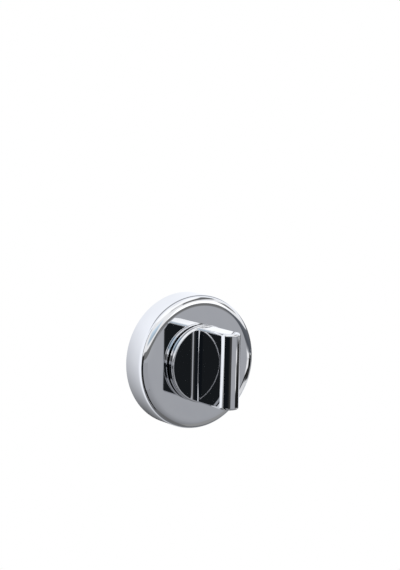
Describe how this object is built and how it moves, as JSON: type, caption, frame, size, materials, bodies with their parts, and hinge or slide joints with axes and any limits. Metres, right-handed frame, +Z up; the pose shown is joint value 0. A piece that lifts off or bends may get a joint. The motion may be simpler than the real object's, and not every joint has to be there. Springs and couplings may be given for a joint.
{
  "type": "bathroom thumb turn",
  "caption": "Round polished rose with a flat bull-nosed thumb turn that works a bathroom lock through a square spindle.",
  "frame": {"origin": "on the turning axis in the plane of the door's face, at the centre of the rose's back", "axes": "+Y into the door along the turning axis, the grip faces -Y, +Z up along the upright grip, +X to the right seen from the room"},
  "size_m": [0.052, 0.0675, 0.052],
  "materials": {
    "polished_chrome_rose": "mirror polished",
    "polished_chrome_turn": "mirror polished",
    "moulded_base": "moulded",
    "bush_nylon": "moulded",
    "spring_steel": "oiled dark",
    "plated_steel": "zinc plated",
    "spindle_steel": "bright drawn"
  },
  "bodies": {
    "rose": {"rose_cover": "polished_chrome_rose", "sub_rose": "moulded_base", "bearing_bush": "bush_nylon", "fixing_screws": "plated_steel"},
    "turn": {"thumb_turn": "polished_chrome_turn", "friction_spring": "spring_steel", "stop_plate": "plated_steel", "circlip": "spring_steel", "spindle": "spindle_steel", "grub_screw": "spring_steel"}
  },
  "joints": [
    {"name": "turn_hinge", "type": "hinge", "parent": "rose", "child": "turn", "pos_m": [0, 0, 0], "axis": [0, 1, 0], "range_deg": [0, 90]}
  ]
}
